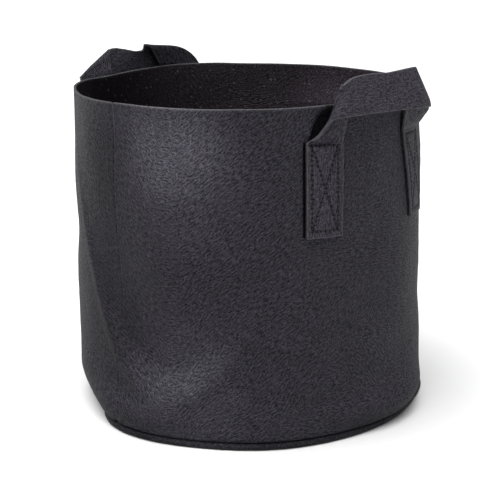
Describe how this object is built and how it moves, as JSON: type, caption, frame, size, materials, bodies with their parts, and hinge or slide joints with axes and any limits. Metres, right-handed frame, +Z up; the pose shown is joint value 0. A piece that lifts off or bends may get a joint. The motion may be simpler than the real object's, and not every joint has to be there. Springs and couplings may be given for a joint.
{
  "type": "fabric grow bag",
  "caption": "Round black felt plant bag with a flat sewn-in base, an open raw-edged rim and a folded strap handle on each side.",
  "frame": {"origin": "middle of the base's underside, on the floor", "axes": "+Z up; +X towards one handle and -X towards the other; the side seam is 4 degrees from -Y, on the +X side"},
  "size_m": [0.3072, 0.3, 0.2915],
  "materials": {
    "bag_felt": "matte",
    "strap_felt": "matte",
    "thread": "satin"
  },
  "bodies": {
    "bag": {"wall_panel": "bag_felt", "base_panel": "bag_felt", "side_seam_thread": "thread", "base_seam_thread": "thread", "right_handle_front_foot": "strap_felt", "right_handle_rear_foot": "strap_felt", "left_handle_front_foot": "strap_felt", "left_handle_rear_foot": "strap_felt", "right_front_box_stitch": "thread", "right_rear_box_stitch": "thread", "left_front_box_stitch": "thread", "left_rear_box_stitch": "thread"},
    "right_handle": {"right_handle_loop": "strap_felt"},
    "left_handle": {"left_handle_loop": "strap_felt"}
  },
  "joints": [
    {"name": "right_handle_swing", "type": "hinge", "parent": "bag", "child": "right_handle", "pos_m": [0.1488, 0, 0.2434], "axis": [0, 1, 0], "range_deg": [0, 150]},
    {"name": "left_handle_swing", "type": "hinge", "parent": "bag", "child": "left_handle", "pos_m": [-0.1488, 0, 0.2434], "axis": [0, -1, 0], "range_deg": [0, 150]}
  ]
}
